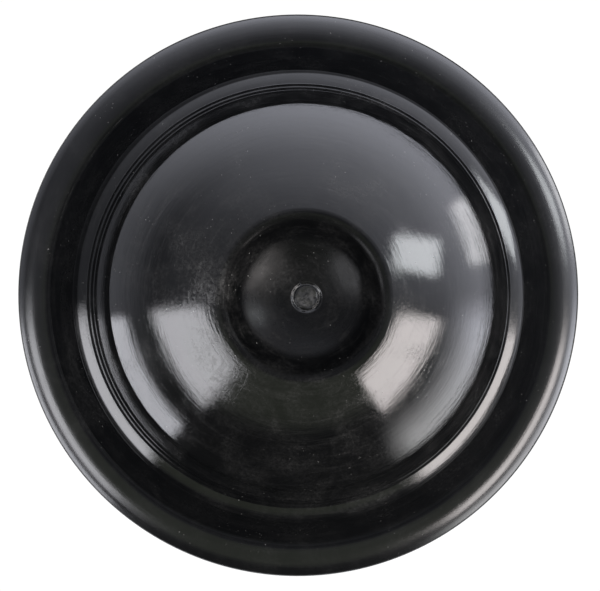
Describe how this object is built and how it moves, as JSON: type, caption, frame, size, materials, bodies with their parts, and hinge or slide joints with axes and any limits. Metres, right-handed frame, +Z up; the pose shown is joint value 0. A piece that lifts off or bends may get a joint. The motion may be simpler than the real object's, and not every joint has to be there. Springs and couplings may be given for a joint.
{
  "type": "sink plunger",
  "caption": "Short sink plunger: a shallow stepped rubber cup with a rolled lip, screwed onto a turned wooden handle.",
  "frame": {"origin": "centre of the rim's contact circle, on the plane the plunger stands on", "axes": "+Z up along the cup's and handle's common axis; X and Y are free, as the object is round"},
  "size_m": [0.115, 0.115, 0.2177],
  "materials": {
    "rubber": "glossy moulded black rubber",
    "wood": "clear varnished hardwood"
  },
  "bodies": {
    "cup_body": {"cup": "rubber"},
    "handle_body": {"handle": "wood"}
  },
  "joints": [
    {"name": "press", "type": "slide", "parent": "cup_body", "child": "handle_body", "axis": [0, 0, 1], "range_m": [-0.015, 0], "stiffness_N_per_m": 2500, "deforming": ["cup"]}
  ]
}
